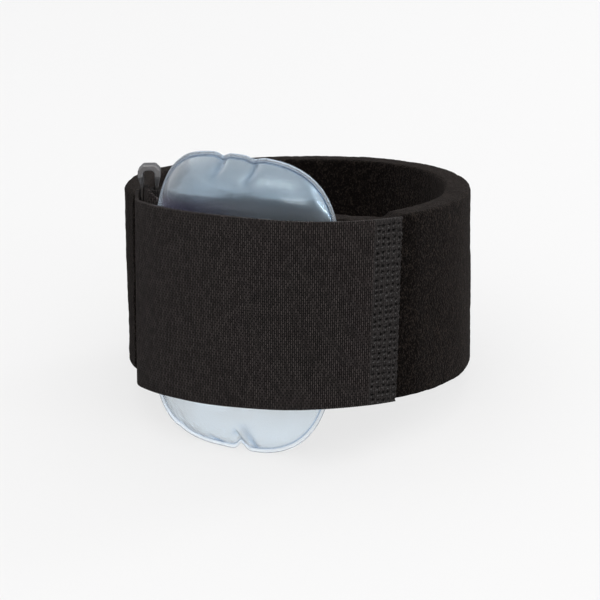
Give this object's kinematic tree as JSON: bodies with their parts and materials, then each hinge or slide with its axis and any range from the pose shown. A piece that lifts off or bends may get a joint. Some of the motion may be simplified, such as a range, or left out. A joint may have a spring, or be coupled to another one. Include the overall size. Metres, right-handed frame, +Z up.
{
  "type": "tennis elbow support",
  "caption": "Foam forearm band closed by a hook strap that threads a plastic ring and folds back over a clear inflated pressure pad.",
  "frame": {"origin": "on the surface that the cuff rests on, under the middle of its box", "axes": "+Z up from the surface; -Y towards the side with the pad and the strap; +X to the right of a viewer who faces the strap"},
  "size_m": [0.1014, 0.1104, 0.0818],
  "materials": {
    "foam": "black foam faced with a brushed loop pile",
    "strap": "charcoal woven tape with fine upright ribs",
    "tab": "black webbing",
    "ring": "dark grey moulded plastic",
    "pad": "clear glossy vinyl with a faint blue tint"
  },
  "bodies": {
    "root": {"foam_band": "foam", "closure_strap": "strap", "ring_tab": "tab", "strap_ring": "ring", "air_pad": "pad"}
  },
  "joints": []
}
